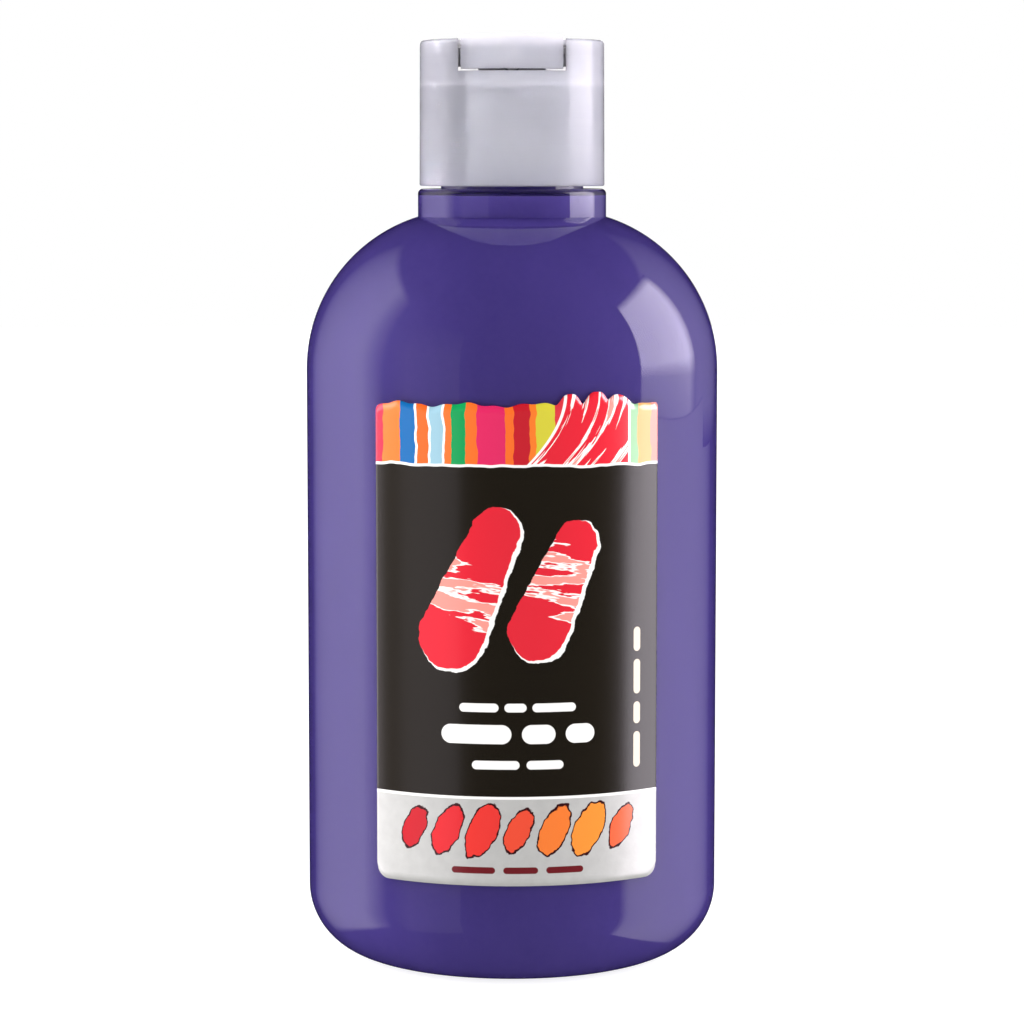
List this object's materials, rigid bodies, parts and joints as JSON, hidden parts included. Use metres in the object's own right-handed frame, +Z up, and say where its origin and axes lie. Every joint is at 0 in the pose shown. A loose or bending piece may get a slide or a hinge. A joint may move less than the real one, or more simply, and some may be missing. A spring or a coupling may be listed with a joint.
{
  "type": "paint bottle",
  "caption": "Clear round squeeze bottle of violet acrylic paint with a smooth screw-on press-top cap and paper labels.",
  "frame": {"origin": "centre of the surface that the bottle stands on", "axes": "+Z up along the bottle's axis; the front, with the label and the cap's notch, faces -Y"},
  "size_m": [0.0736, 0.074, 0.1645],
  "materials": {
    "clear_plastic": "gloss",
    "violet_paint": "gloss",
    "label_paper": "satin",
    "liner_foam": "matte",
    "cap_plastic": "satin"
  },
  "bodies": {
    "bottle_body": {"bottle": "clear_plastic", "paint_fill": "violet_paint", "front_label": "label_paper", "back_label": "label_paper"},
    "liner_body": {"seal_liner": "liner_foam"},
    "cap": {"cap_body": "cap_plastic"},
    "press_disc": {"disc": "cap_plastic"}
  },
  "joints": [
    {"name": "cap_lift", "type": "slide", "parent": "bottle_body", "child": "liner_body", "axis": [0, 0, 1], "range_m": [0, 0.00635]},
    {"name": "cap_turn", "type": "hinge", "parent": "liner_body", "child": "cap", "pos_m": [0, 0, 0.1382], "axis": [0, 0, 1], "range_deg": [0, 540]},
    {"name": "disc_tilt", "type": "hinge", "parent": "cap", "child": "press_disc", "pos_m": [0, 0, 0.1605], "axis": [-1, 0, 0], "range_deg": [0, 22]}
  ],
  "couplings": [
    {"joint": "cap_lift", "follows": "cap_turn", "m_per_rad": 0.0006737}
  ]
}
